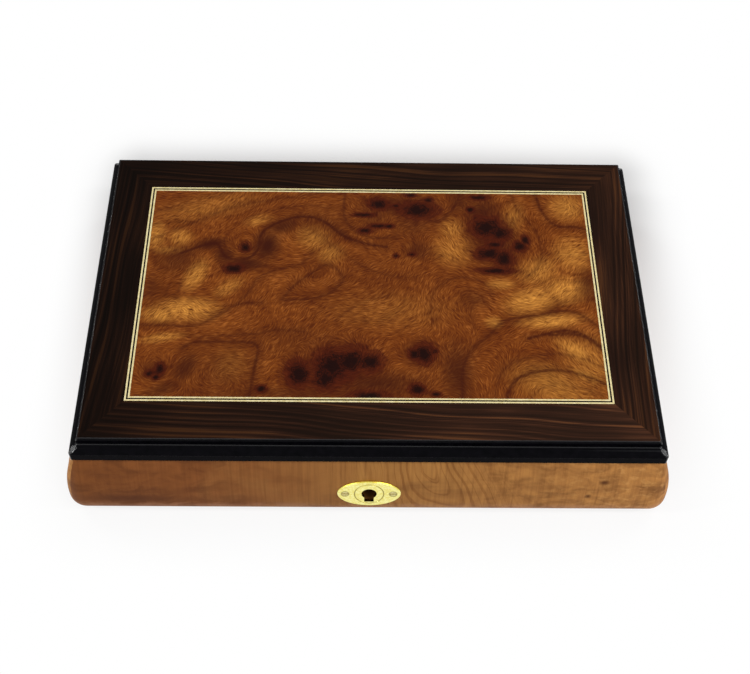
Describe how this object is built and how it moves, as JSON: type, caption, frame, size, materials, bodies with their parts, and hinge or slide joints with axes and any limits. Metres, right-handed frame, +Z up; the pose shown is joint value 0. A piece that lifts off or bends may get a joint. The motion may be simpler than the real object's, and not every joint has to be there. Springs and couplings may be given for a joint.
{
  "type": "musical jewelry box",
  "caption": "Low wooden jewelry box with an inlaid burl lid, black edge moulding, swelling base, brass keyhole plate, velvet trays and a pinned-cylinder music movement.",
  "frame": {"origin": "middle of the box's footprint, on the plane the feet stand on", "axes": "+X to the right along the box's width, +Y from the keyhole front to the hinged back, +Z up"},
  "size_m": [0.272, 0.1833, 0.048],
  "materials": {
    "base_veneer": "lacquered veneer",
    "plywood": "plain",
    "steel": "satin",
    "rubber": "matte",
    "velvet": "velvet",
    "zinc": "cast",
    "brass": "satin",
    "polished_brass": "polished",
    "clear_acrylic": "clear",
    "black_lacquer": "gloss lacquer",
    "rosewood": "gloss lacquer",
    "cream_line": "gloss lacquer",
    "black_line": "gloss lacquer",
    "burl": "gloss lacquer"
  },
  "bodies": {
    "base": {"front_wall": "base_veneer", "back_wall": "base_veneer", "left_wall": "base_veneer", "right_wall": "base_veneer", "bottom_panel": "plywood", "bottom_screws": "steel", "feet": "rubber", "floor_lining": "velvet", "wall_lining": "velvet", "long_divider": "velvet", "music_divider": "velvet", "tray_divider": "velvet", "ring_rolls": "velvet", "bedplate": "zinc", "bedplate_screws": "steel", "bearing_brackets": "brass", "comb": "steel", "comb_screws": "steel", "governor_frame": "zinc", "movement_cover": "clear_acrylic", "base_hinge_leaves": "brass", "base_hinge_screws": "brass", "hinge_pins": "brass", "lock_case": "brass", "lock_screws": "brass", "keyhole_plate": "polished_brass", "keyhole_plate_screws": "polished_brass"},
    "lid": {"lid_board": "plywood", "front_moulding": "black_lacquer", "back_moulding": "black_lacquer", "left_moulding": "black_lacquer", "right_moulding": "black_lacquer", "front_border": "rosewood", "back_border": "rosewood", "left_border": "rosewood", "right_border": "rosewood", "outer_line": "cream_line", "middle_line": "black_line", "inner_line": "cream_line", "burl_panel": "burl", "lid_lining": "velvet", "lid_hinge_leaves": "brass", "lid_hinge_screws": "brass", "link_plate": "brass", "link_plate_screws": "brass"},
    "bolt": {"lock_bolt": "steel"},
    "key": {"winding_key": "brass", "winding_arbor": "steel"},
    "barrel": {"spring_barrel": "brass", "mainspring": "steel"},
    "cylinder": {"pinned_cylinder": "brass", "cylinder_arbor": "steel", "drive_pinion": "brass", "cylinder_gear": "brass"},
    "governor": {"governor_gear": "brass"},
    "fly": {"fly": "steel"},
    "stop": {"stop_pin": "brass"}
  },
  "joints": [
    {"name": "lid_hinge", "type": "hinge", "parent": "base", "child": "lid", "pos_m": [0, 0.0875, 0.036], "axis": [-1, 0, 0], "range_deg": [0, 95]},
    {"name": "bolt_slide", "type": "slide", "parent": "base", "child": "bolt", "axis": [1, 0, 0], "range_m": [0, 0.0035]},
    {"name": "key_turn", "type": "hinge", "parent": "base", "child": "key", "pos_m": [-0.1, 0.0317, 0.01], "axis": [0, 0, 1], "continuous": true},
    {"name": "cylinder_turn", "type": "hinge", "parent": "base", "child": "cylinder", "pos_m": [-0.075, 0.0317, 0.0222], "axis": [1, 0, 0], "continuous": true},
    {"name": "barrel_turn", "type": "hinge", "parent": "base", "child": "barrel", "pos_m": [-0.1, 0.0317, 0.015], "axis": [0, 0, 1], "continuous": true},
    {"name": "governor_turn", "type": "hinge", "parent": "base", "child": "governor", "pos_m": [-0.06, 0.02418, 0.01946], "axis": [1, 0, 0], "continuous": true},
    {"name": "fly_turn", "type": "hinge", "parent": "base", "child": "fly", "pos_m": [-0.0587, 0.01768, 0.02], "axis": [0, 0, 1], "continuous": true},
    {"name": "stop_lift", "type": "slide", "parent": "base", "child": "stop", "axis": [0, 0, 1], "range_m": [0, 0.002]}
  ],
  "couplings": [
    {"joint": "barrel_turn", "follows": "cylinder_turn", "ratio": 0.33333},
    {"joint": "governor_turn", "follows": "cylinder_turn", "ratio": -4},
    {"joint": "fly_turn", "follows": "cylinder_turn", "ratio": 48},
    {"joint": "stop_lift", "follows": "lid_hinge", "m_per_rad": 0.0012062}
  ]
}
